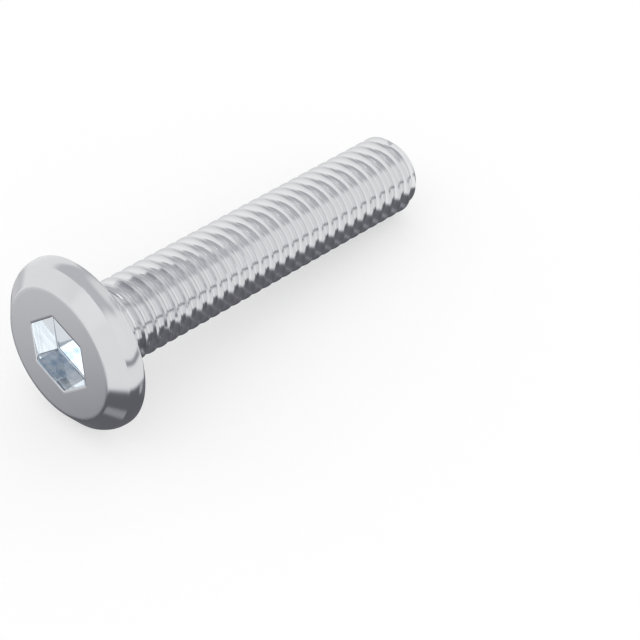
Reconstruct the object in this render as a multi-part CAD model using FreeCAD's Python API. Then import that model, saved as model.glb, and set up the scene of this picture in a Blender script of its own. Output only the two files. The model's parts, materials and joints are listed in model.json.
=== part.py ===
# Locking screw: one turned and thread-rolled piece of plated steel, lying at rest on its rim and thread.
# The screw is built about its own Z axis, face of the head at zero, tip upwards, and then laid down.
import math
import os

import FreeCAD
import Part

os.makedirs("parts", exist_ok=True)

# Sizes over all, in millimetres
total_length = 32.6
head_height = 2.2
head_diameter = 12.5
face_diameter = 9.8
bevel_diameter = 12.0
bevel_rise = 0.955
shoulder_rise = 1.4
shoulder_round = 0.5
rim_chamfer = 0.2

# Socket for a hexagon key
socket_across_flats = 5.0
socket_depth = 1.9
socket_turn_deg = 48.3

# Neck under the head
neck_base_diameter = 7.1
neck_height = 1.9
neck_base_flare = 0.2

# Thread
thread_major_diameter = 5.89
thread_groove_depth = 0.38
thread_pitch = 1.0
crest_width = 0.40
thread_phase_deg = 14.4
runout_turns = 1.0
runout_clearance = 0.4
steps_per_turn = 16
turns_per_strip = 1.0
groove_overcut = 0.1

# Chamfered tip with its shallow cup
tip_diameter = 4.66
tip_chamfer_height = 0.72
cup_mouth_diameter = 4.28
cup_wall_depth = 0.36
cup_floor_diameter = 4.10
cup_floor_chamfer = 0.12
cup_dish_depth = 0.2

# Derived sizes
thread_major_radius = thread_major_diameter / 2.0
thread_root_radius = thread_major_radius - thread_groove_depth
flank_slope = (thread_pitch - crest_width) / 2.0 / thread_groove_depth
thread_start = head_height + neck_height
rim_under_start = head_height - rim_chamfer
chamfer_start = total_length - tip_chamfer_height


# Outline helpers
def rounded_outline(corners):
    """Closed face in the XZ plane from (radius, height, corner round) triples."""
    count = len(corners)
    edges = []
    starts = []
    ends = []
    for index in range(count):
        here = FreeCAD.Vector(corners[index][0], 0, corners[index][1])
        before = FreeCAD.Vector(corners[index - 1][0], 0, corners[index - 1][1])
        after = FreeCAD.Vector(corners[(index + 1) % count][0], 0, corners[(index + 1) % count][1])
        radius = corners[index][2]
        to_before = (before - here).normalize()
        to_after = (after - here).normalize()
        if radius <= 0.0:
            starts.append(here)
            ends.append(here)
            continue
        half = to_before.getAngle(to_after) / 2.0
        reach = radius / math.tan(half)
        middle = (to_before + to_after).normalize()
        centre = here + middle * (radius / math.sin(half))
        start = here + to_before * reach
        end = here + to_after * reach
        edges.append(Part.Arc(start, centre - middle * radius, end).toShape())
        starts.append(start)
        ends.append(end)
    for index in range(count):
        edges.append(Part.makeLine(ends[index], starts[(index + 1) % count]))
    wire = Part.Wire(Part.__sortEdges__(edges))
    return Part.Face(wire)


def turned(corners):
    """Solid of revolution about the screw's axis."""
    face = rounded_outline(corners)
    return face.revolve(FreeCAD.Vector(0, 0, 0), FreeCAD.Vector(0, 0, 1), 360)


# Blank: head, neck, thread-diameter shank and chamfered end in one turned form
def blank():
    face_radius = face_diameter / 2.0
    head_radius = head_diameter / 2.0
    corners = [
        (0.0, 0.0, 0.0),
        (face_radius, 0.0, 0.0),
        (bevel_diameter / 2.0, bevel_rise, 0.0),
        (head_radius, shoulder_rise, shoulder_round),
        (head_radius, head_height - rim_chamfer, 0.0),
        (head_radius - rim_chamfer, head_height, 0.0),
        (neck_base_diameter / 2.0 + neck_base_flare, head_height, 0.0),
        (neck_base_diameter / 2.0, head_height + neck_base_flare, 0.0),
        (thread_major_radius, thread_start, 0.0),
        (thread_major_radius, chamfer_start, 0.0),
        (tip_diameter / 2.0, total_length, 0.0),
        (0.0, total_length, 0.0),
    ]
    return turned(corners)


# Cup in the tip: short steep wall, rounded corner and dished floor
def cup():
    above = 0.5
    slope = (cup_mouth_diameter - cup_floor_diameter) / 2.0 / cup_wall_depth
    corners = [
        (0.0, total_length - cup_wall_depth - cup_floor_chamfer - cup_dish_depth, 0.0),
        (cup_floor_diameter / 2.0 - cup_floor_chamfer, total_length - cup_wall_depth - cup_floor_chamfer, 0.0),
        (cup_floor_diameter / 2.0, total_length - cup_wall_depth, 0.0),
        (cup_mouth_diameter / 2.0 + slope * above, total_length + above, 0.0),
        (0.0, total_length + above, 0.0),
    ]
    return turned(corners)


# Hexagon socket in the head
def socket():
    corner_radius = socket_across_flats / math.sqrt(3.0)
    points = []
    for index in range(7):
        angle = math.radians(socket_turn_deg + 60.0 * index)
        points.append(FreeCAD.Vector(corner_radius * math.cos(angle), corner_radius * math.sin(angle), -1.0))
    face = Part.Face(Part.makePolygon(points))
    return face.extrude(FreeCAD.Vector(0, 0, 1.0 + socket_depth))


# Groove between the threads: a V carried along a helix that climbs out of the metal at the neck
def groove_turns():
    return (total_length + thread_pitch - thread_start) / thread_pitch


def runout_lift(turn):
    if turn >= runout_turns:
        return 0.0
    return (thread_groove_depth + runout_clearance) * (1.0 - turn / runout_turns) ** 2


def helix(radial_offset, axial_offset):
    """Curve beside the groove's root line at fixed offsets, with one unit of parameter to a turn."""
    count = int(math.ceil(groove_turns() * steps_per_turn))
    points = []
    turns = []
    for index in range(count + 1):
        turn = groove_turns() * index / count
        angle = math.radians(thread_phase_deg) + 2.0 * math.pi * turn
        radius = thread_root_radius + runout_lift(turn) + radial_offset
        height = thread_start + turn * thread_pitch + axial_offset
        points.append(FreeCAD.Vector(radius * math.cos(angle), radius * math.sin(angle), height))
        turns.append(turn)
    curve = Part.BSplineCurve()
    curve.interpolate(Points=points, Parameters=turns)
    return curve


def ribbon(first, second):
    """Ruled strip between two helices that share their parameters."""
    strip = Part.BSplineSurface()
    poles = [first.getPoles(), second.getPoles()]
    strip.buildFromPolesMultsKnots(
        poles, [2, 2], first.getMultiplicities(), [0.0, 1.0], first.getKnots(), False, False, 1, first.Degree
    )
    return strip.toShape()


def stretch(curve, start, end):
    piece = curve.copy()
    piece.segment(start, end)
    return piece


def end_cap(curves, turn):
    corners = [curve.value(turn) for curve in curves]
    corners.append(corners[0])
    return Part.Face(Part.makePolygon(corners))


def groove():
    reach = thread_groove_depth + groove_overcut
    curves = [
        helix(0.0, 0.0),
        helix(reach, reach * flank_slope),
        helix(reach, -reach * flank_slope),
    ]
    faces = []
    start = 0.0
    while start < groove_turns() - 0.01:
        end = min(start + turns_per_strip, groove_turns())
        pieces = [stretch(curve, start, end) for curve in curves]
        for index in range(3):
            faces.append(ribbon(pieces[index], pieces[(index + 1) % 3]))
        start = end
    faces.append(end_cap(curves, 0.0))
    faces.append(end_cap(curves, groove_turns()))
    shell = Part.makeShell(faces)
    shell.sewShape()
    solid = Part.makeSolid(shell)
    if solid.Volume < 0.0:
        solid.reverse()
    return solid


# Laid down at rest on the rim's rear edge and the last crest under the tip
def last_crest_below():
    """Height along the axis of the last crest on the side that faces the floor."""
    groove_half = (thread_pitch - crest_width) / 2.0
    groove_height = thread_start - thread_phase_deg / 360.0 * thread_pitch
    past_groove = (chamfer_start - groove_height) % thread_pitch
    if past_groove < groove_half:
        return chamfer_start - past_groove - groove_half
    if past_groove > thread_pitch - groove_half:
        return chamfer_start - past_groove + thread_pitch - groove_half
    return chamfer_start


def rest_tilt():
    drop = head_diameter / 2.0 - thread_major_radius
    return math.atan(drop / (last_crest_below() - rim_under_start))


def laid_down(shape):
    tilt = rest_tilt()
    placed = shape.copy()
    placed.rotate(FreeCAD.Vector(0, 0, 0), FreeCAD.Vector(0, 1, 0), 90.0 + math.degrees(tilt))
    height = rim_under_start * math.sin(tilt) + head_diameter / 2.0 * math.cos(tilt)
    near_end = -face_diameter / 2.0 * math.sin(tilt)
    far_end = total_length * math.cos(tilt) + tip_diameter / 2.0 * math.sin(tilt)
    placed.translate(FreeCAD.Vector(-(near_end + far_end) / 2.0, 0, height))
    return placed


def locking_screw():
    body = blank()
    body = body.cut(groove())
    body = body.cut(socket())
    body = body.cut(cup())
    return laid_down(body)


screw = locking_screw()
if len(screw.Solids) != 1:
    raise ValueError("the screw isn't one solid")
screw = screw.Solids[0]
screw.exportStep("parts/locking_screw.step")
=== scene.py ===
"""Looks of a plated locking screw on a pale floor: the turned head, the rolled thread and the studio."""

import json
import math

import bmesh
import bpy
from mathutils import Matrix, Vector


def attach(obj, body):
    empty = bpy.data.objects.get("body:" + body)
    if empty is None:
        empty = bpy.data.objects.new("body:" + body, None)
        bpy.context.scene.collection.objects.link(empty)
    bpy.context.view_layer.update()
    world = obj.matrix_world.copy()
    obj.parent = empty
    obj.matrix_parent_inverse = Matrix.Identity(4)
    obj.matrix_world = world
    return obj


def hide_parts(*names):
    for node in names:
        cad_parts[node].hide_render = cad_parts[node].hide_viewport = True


bl_info = {
    "name": "Locking Screw",
    "version": (1, 0, 0),
    "blender": (4, 5, 0),
    "location": "View3D > Sidebar > Screw",
    "description": "Builds a plated locking screw round its packed solid, and a small studio",
    "category": "Object",
}

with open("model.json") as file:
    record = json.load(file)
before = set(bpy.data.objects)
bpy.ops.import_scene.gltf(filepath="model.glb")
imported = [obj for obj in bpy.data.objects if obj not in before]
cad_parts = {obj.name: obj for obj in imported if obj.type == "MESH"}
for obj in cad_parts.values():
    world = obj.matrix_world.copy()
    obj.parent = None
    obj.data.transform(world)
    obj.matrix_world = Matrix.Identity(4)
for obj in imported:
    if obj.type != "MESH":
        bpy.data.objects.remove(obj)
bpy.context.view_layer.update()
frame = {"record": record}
MM = 0.001
NODE = "locking_screw"
PIECE = "screw_body"
MOUNTS = {mount["name"]: mount for mount in frame["record"]["mounts"]}

FULL_TURN = 2.0 * math.pi
SIXTH_TURN = math.radians(60.0)
SHARP_TURN = math.radians(40.0)
WHITE = (1.0, 1.0, 1.0, 1.0)

# Lengths in metres: the shortest stretch that is kept, and the shortest that gets steps of its own
SHORTEST = 0.004 * MM
LONG_STRETCH = 0.25 * MM
# Share of a long stretch that its first and its last step take
END_STEP = 0.08
# Distances at which the thread's points, the skins' points and the ends of slivers are joined
THREAD_WELD = 1e-6
SKIN_WELD = 2e-6
SLIVER = 1e-7

# Places of the five metals in the piece's list
FACE, RIM, THREAD, SOCKET, TIP = range(5)


def length(name, millimetres, description):
    """A property for a length, given in millimetres and kept in metres."""
    return bpy.props.FloatProperty(
        name=name, description=description, default=millimetres * MM, precision=5, unit="LENGTH"
    )


def number(name, value, description):
    return bpy.props.FloatProperty(name=name, description=description, default=value)


def count(name, value, description):
    return bpy.props.IntProperty(name=name, description=description, default=value, min=1)


def angle(name, degrees, description):
    return bpy.props.FloatProperty(
        name=name, description=description, default=math.radians(degrees), subtype="ANGLE"
    )


def colour(name, value, description):
    return bpy.props.FloatVectorProperty(
        name=name, description=description, default=value, size=3, subtype="COLOR", min=0.0, max=1.0
    )


class HeadSizes(bpy.types.PropertyGroup):
    """Sizes of the low flat head, its socket and the neck under it."""

    diameter: length("Diameter", 12.5, "Across the rim")
    height: length("Height", 2.2, "From the face to the underside")
    face_diameter: length("Face Diameter", 9.8, "Across the flat face")
    face_edge_round: length("Face Edge Round", 0.3, "Radius where the face turns into the bevel")
    bevel_diameter: length("Bevel Diameter", 12.0, "Across the outer edge of the bevel")
    bevel_rise: length("Bevel Rise", 0.955, "Height of the bevel")
    bevel_edge_round: length("Bevel Edge Round", 0.06, "Radius at the outer edge of the bevel")
    shoulder_rise: length("Shoulder Rise", 1.4, "Height at which the rim is widest")
    shoulder_round: length("Shoulder Round", 1.4, "Radius between the bevel and the rim")
    rim_round: length("Rim Round", 0.2, "Radius at the rear edge of the rim")
    socket_flats: length("Socket Flats", 5.0, "Across the flats of the hexagon socket")
    socket_depth: length("Socket Depth", 1.9, "From the face to the socket's floor")
    socket_turn: angle("Socket Turn", 48.3, "Angle of a corner from the side that faces the floor")
    socket_edge: length("Socket Edge", 0.05, "Edge break at the socket's mouth")
    socket_corner: length("Socket Corner", 0.04, "Radius between the socket's floor and walls")
    socket_dish: length("Socket Dish", 0.05, "Further depth in the middle of the socket's floor")
    neck_diameter: length("Neck Diameter", 7.1, "Across the neck under the head")
    neck_height: length("Neck Height", 1.9, "From the underside to the start of the thread")
    neck_round: length("Neck Round", 0.25, "Radius between the underside and the neck")


class ThreadSizes(bpy.types.PropertyGroup):
    """Sizes of the rolled thread and of the cupped tip."""

    total_length: length("Total Length", 32.6, "From the face of the head to the tip")
    diameter: length("Diameter", 5.89, "Across the crests")
    pitch: length("Pitch", 1.0, "From crest to crest")
    depth: length("Depth", 0.48, "From crest to root")
    crest_width: length("Crest Width", 0.2, "Flat along the crest")
    root_width: length("Root Width", 0.16, "Flat along the root")
    crest_round: length("Crest Round", 0.07, "Radius on both edges of the crest")
    root_round: length("Root Round", 0.14, "Radius on both edges of the root")
    phase: angle("Phase", 14.4, "Angle at which the groove starts")
    runout_turns: number("Run-out Turns", 1.0, "Turns over which the groove leaves the metal at the neck")
    runout_clearance: length("Run-out Clearance", 0.4, "Height of the groove over the metal where it starts")
    tip_diameter: length("Tip Diameter", 4.66, "Across the end of the chamfer")
    chamfer_height: length("Chamfer Height", 0.72, "Length of the chamfer at the tip")
    tip_round: length("Tip Round", 0.07, "Radius at the end of the chamfer")
    cup_diameter: length("Cup Diameter", 4.28, "Across the mouth of the cup")
    cup_floor_diameter: length("Cup Floor Diameter", 4.1, "Across the floor of the cup")
    cup_wall: length("Cup Wall", 0.36, "Height of the cup's steep wall")
    cup_dish: length("Cup Dish", 0.32, "Further depth of the dished floor")
    cup_edge_round: length("Cup Edge Round", 0.05, "Radius at the mouth of the cup")
    cup_corner_round: length("Cup Corner Round", 0.12, "Radius between the wall and the floor")


class Fineness(bpy.types.PropertyGroup):
    """How finely the screw is divided."""

    sides: count("Sides", 120, "Steps round the screw, a multiple of six")
    arc_steps: count("Arc Steps", 5, "Steps across each rounded edge")
    flat_steps: count("Flat Steps", 3, "Steps across each straight stretch")
    thread_arc_steps: count("Thread Arc Steps", 3, "Steps across each rounded edge of the thread")


class Finish(bpy.types.PropertyGroup):
    """Colour and polish of the plating, with painted light on the thread and in the socket, and painted shade
    in the socket.
    """

    plating: colour("Plating", (0.70, 0.705, 0.725), "Colour of the face, the crests and the tip")
    rim_plating: colour("Rim Plating", (0.745, 0.75, 0.77), "Brighter colour of the bevel and the rim")
    # Painted light: root and flanks brighter than the crest, standing in for light lost in the thread's
    # grooves
    root_plating_and_light: colour("Root Plating", (0.77, 0.775, 0.79), "Colour along the root of the thread")
    flank_plating_and_light: colour("Flank Plating", (0.86, 0.865, 0.88), "Brighter colour of the thread's flanks")
    # Partly painted light: the socket's walls are a bluish near white that stays bright deep in the recess
    socket_plating_and_light: colour("Socket Plating", (0.95, 0.975, 0.99), "Cooler colour of the socket's walls")
    # Painted shade: the socket's floor is greyer, as shade at the bottom of the recess
    socket_floor_shade: colour("Socket Floor", (0.78, 0.81, 0.84), "Greyer colour of the socket's floor")
    # Painted shade: one wall of the socket darkened, standing in for the dark surroundings that it mirrors
    shaded_wall: colour("Shaded Wall", (0.42, 0.53, 0.66), "Colour of the one dull wall of the socket")
    face_roughness: number("Face Roughness", 0.16, "Roughness of the satin face")
    rim_roughness: number("Rim Roughness", 0.12, "Roughness of the bevel and the rim")
    thread_roughness: number("Thread Roughness", 0.12, "Roughness of the thread")
    socket_roughness: number("Socket Roughness", 0.05, "Roughness of the socket's walls")
    cup_roughness: number("Cup Roughness", 0.2, "Roughness of the cupped tip")
    streak_shade: number("Streak Shade", 0.86, "Share of the brightness that the streaks in the socket keep")
    shade_spread: number("Shade Spread", 0.05, "Share by which the plating's brightness varies")
    polish_spread: number("Polish Spread", 0.35, "Share by which the roughness varies")
    ring_width: length("Ring Width", 0.12, "Distance between the marks left by turning")
    scratch_width: length("Scratch Width", 0.22, "Distance between fine scratches")
    cloud_size: length("Cloud Size", 1.4, "Size of the soft clouds in the plating")
    relief: length("Relief", 0.0004, "Height of the turning marks")


class Studio(bpy.types.PropertyGroup):
    """Camera, floor and light."""

    azimuth: angle("Azimuth", -45.57, "Direction of the camera round the screw")
    elevation: angle("Elevation", 43.845, "Height of the camera over the horizon")
    distance: length("Distance", 159.14, "From the camera to the point it looks at")
    aim_x: length("Aim X", 3.158, "Point of the floor in the middle of the picture")
    aim_y: length("Aim Y", -5.351, "Point of the floor in the middle of the picture")
    lens: number("Lens", 125.82, "Focal length for a film 36 mm wide")
    floor_size: length("Floor Size", 1200.0, "Side of the floor")
    floor_colour: colour("Floor Colour", (0.55, 0.55, 0.55), "Colour of the floor")
    fill_level: number("Fill Level", 1.0, "Strength of the light that falls on the floor")
    tent_level: number("Tent Level", 0.93, "Brightness of the white tent that the metal mirrors")
    ground_level: number("Ground Level", 0.155, "Brightness of the dark ground that the metal mirrors")
    ground_top: angle("Ground Top", -34.0, "Height at which the dark ground ends")
    ground_blur: angle("Ground Blur", 4.0, "Width of the soft edge of the ground")
    ground_tint: colour("Ground Tint", (0.90, 0.90, 1.0), "Colour of the light from the dark ground")
    floor_glow: number("Floor Glow", 0.455, "Light that the floor adds for the camera alone")


# Placement: the screw is built about its own axis, with the face of its head at zero and its tip upwards
def placement():
    """Moves the screw from its own axis to where it lies, as the packed mounts say."""
    mount = MOUNTS["hex_socket"]
    along = -Vector(mount["axis"]).normalized()
    side = Vector((0.0, 1.0, 0.0))
    down = side.cross(along).normalized()
    turn = Matrix((down, side, along)).transposed().to_4x4()
    return Matrix.Translation(Vector(mount["pos_m"])) @ turn


# Outlines of revolution: lists of (radius, height) with rounded corners
def rounded(corners, arc_steps, flat_steps):
    """Points of an open outline from (radius, height, corner round) triples."""
    points = [Vector(corners[0][:2])]
    for index in range(1, len(corners) - 1):
        here = Vector(corners[index][:2])
        to_before = (Vector(corners[index - 1][:2]) - here).normalized()
        to_after = (Vector(corners[index + 1][:2]) - here).normalized()
        half = to_before.angle(to_after) / 2.0
        radius = corners[index][2]
        reach = radius / math.tan(half)
        middle = (to_before + to_after).normalized()
        centre = here + middle * (radius / math.sin(half))
        start = here + to_before * reach - centre
        end = here + to_after * reach - centre
        straight(points, centre + start, flat_steps)
        sweep = math.pi - 2.0 * half
        for step in range(1, arc_steps + 1):
            share = step / arc_steps
            arm = start * math.sin((1.0 - share) * sweep) + end * math.sin(share * sweep)
            points.append(centre + arm / math.sin(sweep))
    straight(points, Vector(corners[-1][:2]), flat_steps)
    return points


def straight(points, end, steps):
    """Adds a straight stretch; a long one has a short first and last step, which hold the shading."""
    start = points[-1]
    span = (end - start).length
    if span < SHORTEST:
        return
    if span > LONG_STRETCH:
        inner = [END_STEP + (1.0 - 2.0 * END_STEP) * step / steps for step in range(steps + 1)]
        points.extend(start.lerp(end, share) for share in inner)
    points.append(end)


def ring(mesh, radius, height, angles, shape):
    """One ring of points; shape is a function of radius, height and angle that gives the true radius."""
    if radius < SHORTEST:
        return [mesh.verts.new((0.0, 0.0, height))]
    made = []
    for turn in angles:
        reach = shape(radius, height, turn)
        made.append(mesh.verts.new((reach * math.cos(turn), reach * math.sin(turn), height)))
    return made


def turned(outline, angles, shape):
    """A skin of revolution through the outline's points; its ends on the axis are closed."""
    mesh = bmesh.new()
    before = None
    for radius, height in outline:
        here = ring(mesh, radius, height, angles, shape)
        if before is not None:
            bridge(mesh, before, here)
        before = here
    return mesh


def bridge(mesh, before, here):
    """Faces between two rings, or between a ring and a point on the axis."""
    sides = max(len(before), len(here))
    for index in range(sides):
        after = (index + 1) % sides
        if len(before) == 1:
            mesh.faces.new((before[0], here[after], here[index]))
        elif len(here) == 1:
            mesh.faces.new((before[index], before[after], here[0]))
        else:
            mesh.faces.new((before[index], before[after], here[after], here[index]))


def round_shape(radius, height, turn):
    """Shape of a plain round ring."""
    return radius


# Head: socket, face, bevel, rim, underside and neck in one outline
def off_wall(head, turn):
    """Angle between a direction and the middle of the socket's nearest wall."""
    return (turn - head.socket_turn) % SIXTH_TURN - SIXTH_TURN / 2.0


def head_skin(head, thread, fineness, angles):
    """Skin of the head; its rings are hexagons in the socket and turn into circles across the face."""
    flats = head.socket_flats / 2.0
    corners = [
        (0.0, head.socket_depth + head.socket_dish, 0.0),
        (flats, head.socket_depth, head.socket_corner),
        (flats, 0.0, head.socket_edge),
        (head.face_diameter / 2.0, 0.0, head.face_edge_round),
        (head.bevel_diameter / 2.0, head.bevel_rise, head.bevel_edge_round),
        (head.diameter / 2.0, head.shoulder_rise, head.shoulder_round),
        (head.diameter / 2.0, head.height, head.rim_round),
        (head.neck_diameter / 2.0, head.height, head.neck_round),
        (thread.diameter / 2.0, head.height + head.neck_height, 0.0),
    ]
    outline = rounded(corners, fineness.arc_steps, fineness.flat_steps)
    hexagon_end = flats + 2.0 * head.socket_edge
    round_start = (flats + head.face_diameter / 2.0) / 2.0 + head.face_diameter / 10.0

    def shape(radius, height, turn):
        if height > head.socket_depth + SHORTEST and radius > flats:
            return radius
        hexagon = radius / math.cos(off_wall(head, turn))
        share = min(max((radius - hexagon_end) / (round_start - hexagon_end), 0.0), 1.0)
        return hexagon * (1.0 - share) + radius * share

    return turned(outline, angles, shape)


# Tip: end of the chamfer, rim and cup
def chamfer_slope(thread):
    """Radius that the chamfer loses over a unit of height."""
    return (thread.diameter - thread.tip_diameter) / 2.0 / thread.chamfer_height


def chamfer_end(thread):
    """Height at which the skin of the tip takes over from the thread."""
    return thread.total_length - 2.0 * thread.tip_round


def tip_skin(thread, fineness, angles):
    """Skin from the end of the chamfer over the rim of the tip into its cup."""
    start = chamfer_end(thread)
    wall_end = thread.total_length - thread.cup_wall
    corners = [
        (thread.tip_diameter / 2.0 + chamfer_slope(thread) * (thread.total_length - start), start, 0.0),
        (thread.tip_diameter / 2.0, thread.total_length, thread.tip_round),
        (thread.cup_diameter / 2.0, thread.total_length, thread.cup_edge_round),
        (thread.cup_floor_diameter / 2.0, wall_end, thread.cup_corner_round),
        (0.0, wall_end - thread.cup_dish, 0.0),
    ]
    outline = rounded(corners, fineness.arc_steps, fineness.flat_steps)
    return turned(outline, angles, round_shape)


# Thread: the section of one pitch, from crest to crest, carried along a helix
def thread_section(thread, fineness):
    """Points of (height, radius) over one pitch with the root in the middle."""
    crest = thread.diameter / 2.0
    root = crest - thread.depth
    half_pitch = thread.pitch / 2.0
    corners = [
        (-half_pitch, crest, 0.0),
        (-half_pitch + thread.crest_width / 2.0, crest, thread.crest_round),
        (-thread.root_width / 2.0, root, thread.root_round),
        (thread.root_width / 2.0, root, thread.root_round),
        (half_pitch - thread.crest_width / 2.0, crest, thread.crest_round),
        (half_pitch, crest, 0.0),
    ]
    return rounded(corners, fineness.thread_arc_steps, 1)


class Tree:
    """Short ways to add and link nodes in one node tree."""

    def __init__(self, tree):
        self.tree = tree

    def node(self, kind, **settings):
        made = self.tree.nodes.new(kind)
        for name, value in settings.items():
            setattr(made, name, value)
        return made

    def feed(self, socket, value):
        if isinstance(value, bpy.types.NodeSocket):
            self.tree.links.new(value, socket)
        else:
            socket.default_value = value

    def math(self, operation, *values):
        made = self.node("ShaderNodeMath", operation=operation)
        for socket, value in zip(made.inputs, values):
            self.feed(socket, value)
        return made.outputs[0]

    def mix(self, share, first, second):
        """A value between the first and the second."""
        made = self.node("ShaderNodeMix", data_type="FLOAT")
        for socket, value in zip(made.inputs[:1] + made.inputs[2:4], (share, first, second)):
            self.feed(socket, value)
        return made.outputs[0]

    def blend(self, value, low, high, first, second):
        """A soft step from the first to the second while the value goes from low to high."""
        made = self.node("ShaderNodeMapRange", interpolation_type="SMOOTHSTEP")
        self.feed(made.inputs["Value"], value)
        self.feed(made.inputs["From Min"], low)
        self.feed(made.inputs["From Max"], high)
        return self.mix(made.outputs["Result"], first, second)

    def blend_colour(self, share, first, second, way="MIX"):
        """A colour between the first and the second, or the first times the second for MULTIPLY."""
        made = self.node("ShaderNodeMix", data_type="RGBA", blend_type=way)
        for socket, value in zip(made.inputs[:1] + made.inputs[6:8], (share, first, second)):
            self.feed(socket, value)
        return made.outputs[2]

    def spread(self, value, low, high):
        """A value from low to high as the given one goes from zero to one."""
        made = self.node("ShaderNodeMapRange")
        for name, given in (("Value", value), ("To Min", low), ("To Max", high)):
            self.feed(made.inputs[name], given)
        return made.outputs["Result"]

    def vector_math(self, operation, *values):
        made = self.node("ShaderNodeVectorMath", operation=operation)
        for socket, value in zip(made.inputs, values):
            self.feed(socket, value)
        return made.outputs["Value" if operation in ("DOT_PRODUCT", "LENGTH") else "Vector"]

    def noise(self, vector, detail):
        """Soft random pattern with one cell to a unit of the vector."""
        made = self.node("ShaderNodeTexNoise")
        self.feed(made.inputs["Vector"], vector)
        made.inputs["Scale"].default_value = 1.0
        made.inputs["Detail"].default_value = detail
        return made.outputs["Fac"]

    def split(self, vector):
        made = self.node("ShaderNodeSeparateXYZ")
        self.feed(made.inputs[0], vector)
        return made.outputs

    def join(self, x, y, z):
        made = self.node("ShaderNodeCombineXYZ")
        for socket, value in zip(made.inputs, (x, y, z)):
            self.feed(socket, value)
        return made.outputs[0]


THREAD_INPUTS = (
    ("Sides", "NodeSocketInt"),
    ("Section Points", "NodeSocketInt"),
    ("Turns", "NodeSocketInt"),
    ("Pitch", "NodeSocketFloat"),
    ("Crest Radius", "NodeSocketFloat"),
    ("Start", "NodeSocketFloat"),
    ("End", "NodeSocketFloat"),
    ("First Angle", "NodeSocketFloat"),
    ("Groove Angle", "NodeSocketFloat"),
    ("Run-out Turns", "NodeSocketFloat"),
    ("Run-out Lift", "NodeSocketFloat"),
    ("Chamfer Start", "NodeSocketFloat"),
    ("Chamfer Slope", "NodeSocketFloat"),
    ("Weld Distance", "NodeSocketFloat"),
    ("Material", "NodeSocketMaterial"),
)


def thread_tree():
    """Node tree that winds the section of one pitch into a thread, trimmed at the neck and the chamfer."""
    group = bpy.data.node_groups.new("Rolled Thread", "GeometryNodeTree")
    group.interface.new_socket("Section", in_out="INPUT", socket_type="NodeSocketGeometry")
    for name, kind in THREAD_INPUTS:
        group.interface.new_socket(name, in_out="INPUT", socket_type=kind)
    group.interface.new_socket("Thread", in_out="OUTPUT", socket_type="NodeSocketGeometry")
    tree = Tree(group)
    given = tree.node("NodeGroupInput").outputs
    grid = tree.node("GeometryNodeMeshGrid")
    side = 1.0
    columns = tree.math("ADD", tree.math("MULTIPLY", given["Sides"], given["Turns"]), 1.0)
    tree.feed(grid.inputs["Size X"], side)
    tree.feed(grid.inputs["Size Y"], side)
    tree.feed(grid.inputs["Vertices X"], columns)
    tree.feed(grid.inputs["Vertices Y"], given["Section Points"])
    place = tree.split(tree.node("GeometryNodeInputPosition").outputs[0])
    wound = tree.math("MULTIPLY", tree.math("ADD", place[0], side / 2.0), given["Turns"])
    last_point = tree.math("SUBTRACT", given["Section Points"], 1.0)
    steps = tree.math("MULTIPLY", tree.math("ADD", place[1], side / 2.0), last_point)
    sample = tree.node("GeometryNodeSampleIndex", data_type="FLOAT_VECTOR")
    tree.feed(sample.inputs["Geometry"], given["Section"])
    tree.feed(sample.inputs["Value"], tree.node("GeometryNodeInputPosition").outputs[0])
    tree.feed(sample.inputs["Index"], tree.math("ROUND", steps))
    section = tree.split(sample.outputs[0])
    turn = tree.math("ADD", given["First Angle"], tree.math("MULTIPLY", wound, FULL_TURN))
    grooved = tree.math("DIVIDE", tree.math("SUBTRACT", turn, given["Groove Angle"]), FULL_TURN)
    rise = tree.math("ADD", tree.math("MULTIPLY", grooved, given["Pitch"]), section[0])
    raised = tree.math("ADD", rise, given["Start"])
    height = tree.math("MINIMUM", tree.math("MAXIMUM", raised, given["Start"]), given["End"])
    run_out = tree.math("DIVIDE", grooved, given["Run-out Turns"])
    left = tree.math("MAXIMUM", tree.math("SUBTRACT", 1.0, run_out), 0.0)
    lift = tree.math("MULTIPLY", tree.math("MULTIPLY", left, left), given["Run-out Lift"])
    past = tree.math("MAXIMUM", tree.math("SUBTRACT", height, given["Chamfer Start"]), 0.0)
    blank = tree.math("SUBTRACT", given["Crest Radius"], tree.math("MULTIPLY", past, given["Chamfer Slope"]))
    radius = tree.math("MINIMUM", tree.math("ADD", section[1], lift), blank)
    position = tree.join(
        tree.math("MULTIPLY", radius, tree.math("COSINE", turn)),
        tree.math("MULTIPLY", radius, tree.math("SINE", turn)),
        height,
    )
    moved = tree.node("GeometryNodeSetPosition")
    tree.feed(moved.inputs["Geometry"], grid.outputs["Mesh"])
    tree.feed(moved.inputs["Position"], position)
    welded = tree.node("GeometryNodeMergeByDistance")
    tree.feed(welded.inputs["Geometry"], moved.outputs[0])
    tree.feed(welded.inputs["Distance"], given["Weld Distance"])
    real = tree.node("GeometryNodeRealizeInstances")
    tree.feed(real.inputs[0], welded.outputs[0])
    painted = tree.node("GeometryNodeSetMaterial")
    tree.feed(painted.inputs["Geometry"], real.outputs[0])
    tree.feed(painted.inputs["Material"], given["Material"])
    tree.feed(tree.node("NodeGroupOutput").inputs[0], painted.outputs[0])
    return group


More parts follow.
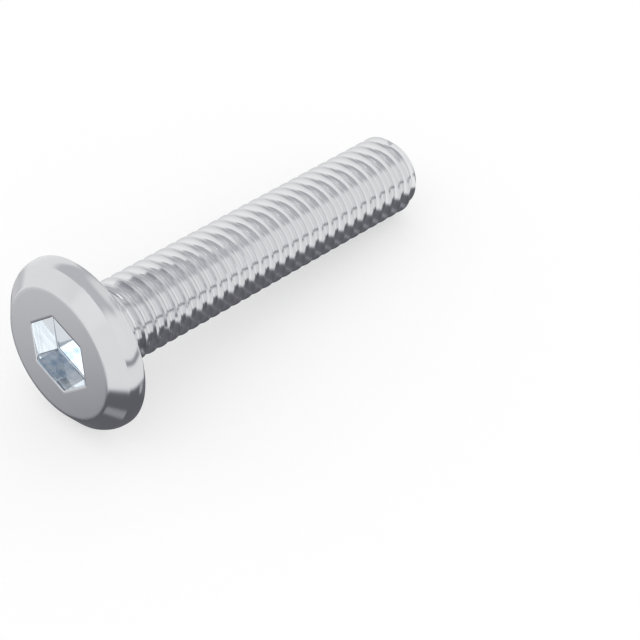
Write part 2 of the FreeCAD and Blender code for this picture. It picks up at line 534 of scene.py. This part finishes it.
def thread_mesh(head, thread, fineness, material):
    """Mesh of the thread, from the start of the neck's thread to the tip's skin."""
    section = bpy.data.meshes.new("thread_section")
    points = thread_section(thread, fineness)
    section.from_pydata([(height, radius, 0.0) for height, radius in points], [], [])
    holder = bpy.data.objects.new("thread_section", section)
    bpy.context.scene.collection.objects.link(holder)
    start = head.height + head.neck_height
    before = math.ceil(thread.phase / FULL_TURN) + 1
    turns = math.ceil((thread.total_length - start) / thread.pitch) + before + 1
    values = {
        "Sides": fineness.sides,
        "Section Points": len(points),
        "Turns": turns,
        "Pitch": thread.pitch,
        "Crest Radius": thread.diameter / 2.0,
        "Start": start,
        "End": chamfer_end(thread),
        "First Angle": head.socket_turn - before * FULL_TURN,
        "Groove Angle": thread.phase,
        "Run-out Turns": thread.runout_turns,
        "Run-out Lift": thread.depth + thread.runout_clearance,
        "Chamfer Start": thread.total_length - thread.chamfer_height,
        "Chamfer Slope": chamfer_slope(thread),
        "Weld Distance": THREAD_WELD,
        "Material": material,
    }
    modifier = holder.modifiers.new("Rolled Thread", "NODES")
    modifier.node_group = thread_tree()
    for item in modifier.node_group.interface.items_tree:
        if item.name in values:
            modifier[item.identifier] = values[item.name]
    evaluated = holder.evaluated_get(bpy.context.evaluated_depsgraph_get())
    mesh = bpy.data.meshes.new_from_object(evaluated)
    holder.modifiers.clear()
    bpy.data.objects.remove(holder)
    return mesh


# Materials: every pattern is laid out in the screw's own frame, in millimetres, so that it stays on the metal
CLOUD_DETAIL = 3.0
MARK_DETAIL = 2.0
# Share of the height in the pattern of the rings, so that they also divide upright surfaces
RING_RISE = 1.7


class Marks:
    """Patterns in the screw's own frame for one material."""

    def __init__(self, tree):
        self.tree = tree
        mapping = tree.node("ShaderNodeMapping")
        tree.feed(mapping.inputs["Vector"], tree.node("ShaderNodeTexCoord").outputs["Object"])
        home = placement().inverted()
        mapping.inputs["Location"].default_value = home.translation / MM
        mapping.inputs["Rotation"].default_value = home.to_euler("XYZ")
        mapping.inputs["Scale"].default_value = (1.0 / MM, 1.0 / MM, 1.0 / MM)
        self.place = mapping.outputs[0]
        x, y, self.height = tree.split(self.place)
        flat = tree.join(x, y, 0.0)
        self.radius = tree.vector_math("LENGTH", flat)
        self.outward = tree.vector_math("NORMALIZE", flat)

    def clouds(self, size):
        """Soft blotches of the given size in millimetres."""
        return self.tree.noise(self.tree.vector_math("MULTIPLY", self.place, (1.0 / size,) * 3), CLOUD_DETAIL)

    def clouded(self, size, lines, share):
        """Soft blotches of the given size, mixed with a share of the given lines."""
        return self.tree.mix(share, self.clouds(size), lines)

    def rings(self, width, arcs):
        """Marks of a turning tool round the axis; the more arcs, the shorter each of them."""
        tree = self.tree
        across = tree.math("ADD", self.radius, tree.math("MULTIPLY", self.height, RING_RISE))
        x, y, _ = tree.split(self.outward)
        around = tree.join(
            tree.math("DIVIDE", across, width), tree.math("MULTIPLY", x, arcs), tree.math("MULTIPLY", y, arcs)
        )
        return tree.noise(around, MARK_DETAIL)

    def strokes(self, width, stretch, lean):
        """Marks along one direction, narrow across it; lean turns the direction about the axis."""
        tree = self.tree
        turned = tree.node("ShaderNodeMapping")
        tree.feed(turned.inputs["Vector"], self.place)
        turned.inputs["Rotation"].default_value = (0.0, 0.0, lean)
        turned.inputs["Scale"].default_value = (1.0 / width, 1.0 / width / stretch, 1.0 / width / stretch)
        return tree.noise(turned.outputs[0], MARK_DETAIL)

    def bands(self, width, stretch):
        """Marks that run across the axis at one height, as a pressing tool leaves them where it stops."""
        slim = (1.0 / width / stretch, 1.0 / width / stretch, 1.0 / width)
        return self.tree.noise(self.tree.vector_math("MULTIPLY", self.place, slim), MARK_DETAIL)


def metal(name):
    """An empty metal: its material, its tree with marks and its shader."""
    material = bpy.data.materials.new(name)
    material.use_nodes = True
    shader = material.node_tree.nodes["Principled BSDF"]
    shader.inputs["Metallic"].default_value = 1.0
    tree = Tree(material.node_tree)
    return material, tree, Marks(tree), shader


def opaque(value):
    """The colour with full cover."""
    return (*value, 1.0)


def finish_metal(tree, shader, tone, shade, roughness, relief, finish):
    """Feeds one shader: tone is the colour, a low shade darkens it a little, and relief is a height."""
    dark = 1.0 - finish.shade_spread
    shaded = tree.blend_colour(shade, opaque((dark, dark, dark)), WHITE)
    tree.feed(shader.inputs["Base Color"], tree.blend_colour(1.0, tone, shaded, "MULTIPLY"))
    low, high = roughness * (1.0 - finish.polish_spread), roughness * (1.0 + finish.polish_spread)
    tree.feed(shader.inputs["Roughness"], tree.spread(shade, low, high))
    bump = tree.node("ShaderNodeBump")
    bump.inputs["Distance"].default_value = finish.relief
    tree.feed(bump.inputs["Height"], relief)
    tree.feed(shader.inputs["Normal"], bump.outputs[0])


def face_metal(finish):
    """Satin face: fine turning rings under a few soft clouds and crossing scratches."""
    material, tree, marks, shader = metal("Satin Face")
    rings = marks.rings(finish.ring_width / MM, arcs=2.0)
    scratches = marks.strokes(finish.scratch_width / MM, stretch=14.0, lean=math.radians(35.0))
    shade = marks.clouded(finish.cloud_size / MM, scratches, share=0.5)
    finish_metal(tree, shader, opaque(finish.plating), shade, finish.face_roughness, rings, finish)
    return material


def rim_metal(finish):
    """Bright bevel and rim: rings of the turning tool."""
    material, tree, marks, shader = metal("Bright Rim")
    rings = marks.rings(finish.ring_width / MM, arcs=1.5)
    shade = marks.clouded(finish.cloud_size / MM, rings, share=0.5)
    finish_metal(tree, shader, opaque(finish.rim_plating), shade, finish.rim_roughness, rings, finish)
    return material


# Share of the thread's depth, from the root, at which the painted light on its flanks is brightest
PAINTED_LIGHT_PEAK = 0.4


def thread_metal(finish, thread):
    """Rolled thread: flanks and root painted brighter than the crest, as painted light against the shade of
    the grooves, with marks that run round the axis.
    """
    material, tree, marks, shader = metal("Rolled Thread")
    crest = thread.diameter / 2.0 / MM
    root = crest - thread.depth / MM
    flank = root + PAINTED_LIGHT_PEAK * (crest - root)
    on_flank = tree.blend(marks.radius, root, flank, 0.0, 1.0)
    on_crest = tree.blend(marks.radius, flank, crest, 0.0, 1.0)
    tone = tree.blend_colour(on_flank, opaque(finish.root_plating_and_light), opaque(finish.flank_plating_and_light))
    tone = tree.blend_colour(on_crest, tone, opaque(finish.plating))
    rings = marks.rings(finish.ring_width / MM, arcs=3.0)
    shade = marks.clouded(finish.cloud_size / MM, rings, share=0.4)
    finish_metal(tree, shader, tone, shade, finish.thread_roughness, rings, finish)
    return material


# Height in millimetres over which the painted shade of the socket's floor fades in, and cosine over which the
# painted shade on the darkened wall fades at its edges
FLOOR_SHADE_FADE = 0.06
CORNER_FADE = 0.004
# Stretch of the painted shade on the darkened wall, in shares of half the flats from its middle, and how much
# painted shade its ends get
WALL_SHADE_STRETCH = (-0.5, 0.4)
WALL_SHADE_ENDS = (0.3, 0.8)
MOTTLE_STRENGTH = 1.2
# Range of the pattern that makes a streak, and the depths in millimetres between which the streaks fade
STREAK_RANGE = (0.42, 0.55)
STREAK_FADE = (0.6, 1.2)


def wall_shade_share(tree, marks, head, above_floor, mottle):
    """From zero to one, how much painted shade the metal gets: on one wall only, more to one end, and in soft
    patches.
    """
    turn = head.socket_turn - SIXTH_TURN / 2.0
    corner = math.cos(SIXTH_TURN / 2.0)
    flats = head.socket_flats / 2.0 / MM
    facing = tree.vector_math("DOT_PRODUCT", marks.outward, (math.cos(turn), math.sin(turn), 0.0))
    on_wall = tree.blend(facing, corner, corner + CORNER_FADE, 0.0, 1.0)
    along = tree.vector_math("DOT_PRODUCT", marks.place, (-math.sin(turn), math.cos(turn), 0.0))
    first, last = WALL_SHADE_STRETCH[0] * flats, WALL_SHADE_STRETCH[1] * flats
    patches = tree.spread(mottle, -MOTTLE_STRENGTH, MOTTLE_STRENGTH)
    shade_along = tree.math("ADD", tree.blend(along, first, last, *WALL_SHADE_ENDS), patches)
    darkened = tree.math("MULTIPLY", tree.math("MULTIPLY", on_wall, above_floor), shade_along)
    return tree.math("MINIMUM", tree.math("MAXIMUM", darkened, 0.0), 1.0)


def socket_metal(finish, head):
    """Pressed socket: bluish walls that are partly painted light, streaked near the mouth, one wall with
    painted shade, and a floor greyed by painted shade.
    """
    material, tree, marks, shader = metal("Pressed Socket")
    bands = marks.bands(finish.scratch_width / MM, stretch=12.0)
    mottle = marks.clouds(finish.cloud_size / MM / 2.0)
    depth = head.socket_depth / MM
    above_floor = tree.blend(marks.height, depth - FLOOR_SHADE_FADE, depth, 1.0, 0.0)
    darkened = wall_shade_share(tree, marks, head, above_floor, mottle)
    # Painted shade on one wall, standing in for the dark surroundings that it mirrors
    tone = tree.blend_colour(darkened, opaque(finish.socket_plating_and_light), opaque(finish.shaded_wall))
    # Painted shade: the socket's floor is greyer, as shade at the bottom of the recess
    tone = tree.blend_colour(above_floor, opaque(finish.socket_floor_shade), tone)
    streaks = tree.blend(bands, *STREAK_RANGE, finish.streak_shade, 1.0)
    streaks = tree.mix(tree.blend(marks.height, *STREAK_FADE, 0.0, 1.0), streaks, 1.0)
    tone = tree.blend_colour(1.0, tone, tree.join(streaks, streaks, streaks), "MULTIPLY")
    finish_metal(tree, shader, tone, mottle, finish.socket_roughness, bands, finish)
    return material


def cup_metal(finish):
    """Cupped tip: turned chamfer and a duller cup."""
    material, tree, marks, shader = metal("Cupped Tip")
    rings = marks.rings(finish.ring_width / MM, arcs=1.5)
    shade = marks.clouded(finish.cloud_size / MM / 2.0, rings, share=0.5)
    finish_metal(tree, shader, opaque(finish.plating), shade, finish.cup_roughness, rings, finish)
    return material


def zone(head, thread, centre):
    """Place in the piece's list of the metal for the face with the given centre."""
    radius = math.hypot(centre.x, centre.y)
    across = off_wall(head, math.atan2(centre.y, centre.x))
    inside = radius * math.cos(across) < head.socket_flats / 2.0 + head.socket_edge + SHORTEST
    if inside and SHORTEST < centre.z < head.socket_depth + head.socket_dish + SHORTEST:
        return SOCKET
    if centre.z < SHORTEST:
        return FACE
    if centre.z < head.height + head.neck_height:
        return RIM
    tip_start = thread.total_length - thread.chamfer_height
    cup_bottom = thread.total_length - thread.cup_wall - thread.cup_dish
    on_slope = radius + (centre.z - tip_start) * chamfer_slope(thread) > thread.diameter / 2.0 - SHORTEST
    in_cup = centre.z > cup_bottom and radius < thread.cup_diameter / 2.0
    if centre.z > tip_start and (on_slope or in_cup or centre.z > chamfer_end(thread)):
        return TIP
    return THREAD


def closed_piece(name, skins, metals, zone_of):
    """One closed mesh object from skins that share their edges."""
    whole = bmesh.new()
    for skin in skins:
        if isinstance(skin, bpy.types.Mesh):
            mesh = skin
        else:
            mesh = bpy.data.meshes.new("skin")
            skin.to_mesh(mesh)
            skin.free()
        whole.from_mesh(mesh)
        bpy.data.meshes.remove(mesh)
    bmesh.ops.remove_doubles(whole, verts=whole.verts, dist=SKIN_WELD)
    bmesh.ops.dissolve_degenerate(whole, dist=SLIVER, edges=whole.edges)
    open_edges = [edge for edge in whole.edges if len(edge.link_faces) != 2]
    if open_edges:
        raise ValueError(f"the screw's skin is open at {len(open_edges)} edges")
    bmesh.ops.recalc_face_normals(whole, faces=whole.faces)
    for face in whole.faces:
        face.smooth = True
        face.material_index = zone_of(face.calc_center_median())
    for edge in whole.edges:
        edge.smooth = edge.calc_face_angle() < SHARP_TURN
    bmesh.ops.transform(whole, matrix=placement(), verts=whole.verts)
    mesh = bpy.data.meshes.new(name)
    whole.to_mesh(mesh)
    whole.free()
    for material in metals:
        mesh.materials.append(material)
    piece = bpy.data.objects.new(name, mesh)
    bpy.context.scene.collection.objects.link(piece)
    return piece


class SCREW_OT_build_screw(bpy.types.Operator):
    """Build the head, the thread and the tip as one closed piece"""

    bl_idname = "screw.build_screw"
    bl_label = "Build Screw"

    def execute(self, context):
        scene = context.scene
        head, thread, fineness = scene.screw_head, scene.screw_thread, scene.screw_fineness
        finish = scene.screw_finish
        metals = (
            face_metal(finish),
            rim_metal(finish),
            thread_metal(finish, thread),
            socket_metal(finish, head),
            cup_metal(finish),
        )
        step = FULL_TURN / fineness.sides
        angles = [head.socket_turn + step * index for index in range(fineness.sides)]
        skins = [
            head_skin(head, thread, fineness, angles),
            thread_mesh(head, thread, fineness, metals[THREAD]),
            tip_skin(thread, fineness, angles),
        ]
        piece = closed_piece(PIECE, skins, metals, lambda centre: zone(head, thread, centre))
        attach(piece, "root")
        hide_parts(NODE)
        return {"FINISHED"}


# Studio
def add_floor(studio):
    """Pale floor that glows a little for the camera alone and isn't mirrored in the metal."""
    half = studio.floor_size / 2.0
    corners = [(-half, -half, 0), (half, -half, 0), (half, half, 0), (-half, half, 0)]
    mesh = bpy.data.meshes.new("floor")
    mesh.from_pydata(corners, [], [(0, 1, 2, 3)])
    material = bpy.data.materials.new("Pale Floor")
    material.use_nodes = True
    shader = material.node_tree.nodes["Principled BSDF"]
    shader.inputs["Base Color"].default_value = opaque(studio.floor_colour)
    shader.inputs["Roughness"].default_value = 1.0
    shader.inputs["Specular IOR Level"].default_value = 0.0
    shader.inputs["Emission Color"].default_value = WHITE
    tree = Tree(material.node_tree)
    seen = tree.node("ShaderNodeLightPath").outputs["Is Camera Ray"]
    tree.feed(shader.inputs["Emission Strength"], tree.math("MULTIPLY", seen, studio.floor_glow))
    mesh.materials.append(material)
    floor = bpy.data.objects.new("floor", mesh)
    bpy.context.scene.collection.objects.link(floor)
    floor.visible_glossy = False


# Parts of the tent that stand out in the mirror of the metal, with angles in degrees: azimuth, elevation,
# radius, blur and level
PANELS = (
    ("Ceiling", 78.0, 76.0, 41.0, 14.0, 0.63),
    ("Grey Corner", -150.0, 48.0, 6.0, 8.0, 0.62),
    ("Left Lamp", 176.0, 33.0, 12.0, 8.0, 0.98),
    ("Light from the Left", 132.0, -26.8, 5.0, 9.0, 0.8),
    ("Pale Ground on the Left", 175.0, -27.0, 5.0, 7.0, 0.6),
    ("Pale Ground", 90.0, -36.0, 12.0, 12.0, 0.66),
    ("Front Lamp", -107.0, 37.0, 10.0, 26.0, 0.95),
    ("Right Lamp", -3.0, 51.0, 6.0, 25.0, 0.87),
    ("Light on the Ground", -161.0, -63.5, 1.0, 8.0, 0.37),
    ("Pale Patch", -60.0, -41.0, 2.0, 7.0, 0.5),
    ("Dark Card", -36.0, -40.0, 9.0, 7.0, 0.2),
    ("Grey Card", 28.0, 18.0, 12.0, 9.0, 0.5),
    ("Grey Ledge", -20.5, 40.5, 8.0, 3.0, 0.71),
    ("Upper Lamp", 149.0, 62.5, 4.0, 3.0, 1.36),
    ("Rear Lamp", 170.0, 62.0, 2.5, 3.0, 2.3),
    ("Grey Slot", -120.0, -6.0, 2.5, 3.0, 0.66),
)

# Narrow bands in the tent, with angles in degrees: first and last azimuth and elevation, half width, blur
# and level
SEAMS = (
    ("Open Seam", (-132.0, 0.0), (-50.0, -3.0), 1.5, 4.0, 0.36),
    ("Falling Seam", (-50.0, -3.0), (2.0, -26.0), 2.0, 5.0, 0.68),
    ("Folded Seam", (-22.0, 36.0), (8.0, 5.0), 3.0, 6.0, 0.62),
)


def toward(azimuth, elevation):
    """Unit vector that points away from the screw at the given angles."""
    flat = math.cos(elevation)
    return (math.cos(azimuth) * flat, math.sin(azimuth) * flat, math.sin(elevation))


def tent(tree, studio):
    """Brightness of the surroundings by direction: dark ground, white tent and a few soft panels."""
    direction = tree.node("ShaderNodeTexCoord").outputs["Generated"]
    x, y, height = tree.split(direction)
    level = tree.blend(
        height,
        math.sin(studio.ground_top - studio.ground_blur),
        math.sin(studio.ground_top + studio.ground_blur),
        studio.ground_level,
        studio.tent_level,
    )
    for name, azimuth, elevation, radius, blur, brightness in PANELS:
        centre = toward(math.radians(azimuth), math.radians(elevation))
        near = tree.node("ShaderNodeVectorMath", operation="DOT_PRODUCT", label=name)
        tree.feed(near.inputs[0], direction)
        near.inputs[1].default_value = centre
        edge = math.cos(math.radians(radius + blur))
        level = tree.blend(near.outputs["Value"], edge, math.cos(math.radians(radius)), level, brightness)
    azimuth = tree.math("DEGREES", tree.math("ARCTAN2", y, x))
    elevation = tree.math("DEGREES", tree.math("ARCSINE", height))
    for name, first, last, width, blur, brightness in SEAMS:
        share = seam(tree, name, azimuth, elevation, first, last, width, blur)
        level = tree.mix(share, level, brightness)
    return level


def seam(tree, name, azimuth, elevation, first, last, width, blur):
    """One along a line from the first to the last azimuth and elevation, and zero away from it."""
    line = tree.node("ShaderNodeMapRange", label=name)
    names = ("Value", "From Min", "From Max", "To Min", "To Max")
    for name, value in zip(names, (azimuth, first[0], last[0], first[1], last[1])):
        tree.feed(line.inputs[name], value)
    off = tree.math("ABSOLUTE", tree.math("SUBTRACT", elevation, line.outputs["Result"]))
    across = tree.blend(off, width, width + blur, 1.0, 0.0)
    begun = tree.blend(azimuth, first[0] - blur, first[0], 0.0, 1.0)
    left = tree.blend(azimuth, last[0], last[0] + blur, 1.0, 0.0)
    return tree.math("MULTIPLY", across, tree.math("MULTIPLY", begun, left))


def add_world(studio):
    """The tent for mirror rays, an even light on the floor, and plain white behind everything."""
    world = bpy.data.worlds.new("White Tent")
    world.use_nodes = True
    world.cycles.sampling_method = "NONE"
    tree = Tree(world.node_tree)
    background = world.node_tree.nodes["Background"]
    path = tree.node("ShaderNodeLightPath").outputs
    level = tent(tree, studio)
    pale = tree.blend(level, studio.ground_level, studio.tent_level, 0.0, 1.0)
    tint = tree.blend_colour(pale, opaque(studio.ground_tint), WHITE)
    tree.feed(background.inputs["Color"], tree.blend_colour(path["Is Glossy Ray"], WHITE, tint))
    mirrored = tree.mix(path["Is Glossy Ray"], studio.fill_level, level)
    seen = tree.math("MAXIMUM", path["Is Camera Ray"], path["Is Transmission Ray"])
    tree.feed(background.inputs["Strength"], tree.mix(seen, mirrored, 1.0))
    bpy.context.scene.world = world


def add_camera(studio):
    """Camera at the photograph's viewing angle."""
    data = bpy.data.cameras.new("camera")
    data.lens = studio.lens
    data.sensor_width = 36.0
    camera = bpy.data.objects.new("camera", data)
    bpy.context.scene.collection.objects.link(camera)
    flat = math.cos(studio.elevation)
    back = Vector(
        (math.sin(studio.azimuth) * flat, -math.cos(studio.azimuth) * flat, math.sin(studio.elevation))
    )
    camera.location = Vector((studio.aim_x, studio.aim_y, 0.0)) + back * studio.distance
    camera.rotation_mode = "QUATERNION"
    camera.rotation_quaternion = (-back).to_track_quat("-Z", "Y")
    data.clip_start = 0.01
    data.clip_end = 10.0
    bpy.context.scene.camera = camera


class SCREW_OT_build_studio(bpy.types.Operator):
    """Build the floor, the light and the camera"""

    bl_idname = "screw.build_studio"
    bl_label = "Build Studio"

    def execute(self, context):
        studio = context.scene.screw_studio
        add_floor(studio)
        add_world(studio)
        add_camera(studio)
        context.scene.view_settings.view_transform = "Standard"
        return {"FINISHED"}


class SCREW_PT_panel(bpy.types.Panel):
    """Sizes and steps of the locking screw"""

    bl_label = "Locking Screw"
    bl_idname = "SCREW_PT_panel"
    bl_space_type = "VIEW_3D"
    bl_region_type = "UI"
    bl_category = "Screw"

    def draw(self, context):
        for operator in (SCREW_OT_build_screw, SCREW_OT_build_studio):
            self.layout.operator(operator.bl_idname)
        for name in SETTINGS:
            group = getattr(context.scene, name)
            box = self.layout.box()
            box.label(text=SETTINGS[name].__doc__)
            for field in SETTINGS[name].__annotations__:
                box.prop(group, field)


SETTINGS = {
    "screw_head": HeadSizes,
    "screw_thread": ThreadSizes,
    "screw_fineness": Fineness,
    "screw_finish": Finish,
    "screw_studio": Studio,
}
CLASSES = (*SETTINGS.values(), SCREW_OT_build_screw, SCREW_OT_build_studio, SCREW_PT_panel)


def register():
    for made in CLASSES:
        bpy.utils.register_class(made)
    for name, group in SETTINGS.items():
        setattr(bpy.types.Scene, name, bpy.props.PointerProperty(type=group))


def unregister():
    for name in SETTINGS:
        delattr(bpy.types.Scene, name)
    for made in reversed(CLASSES):
        bpy.utils.unregister_class(made)


def main():
    """Builds the screw and the studio."""
    register()
    bpy.ops.screw.build_screw()
    bpy.ops.screw.build_studio()


if __name__ == "__main__":
    main()
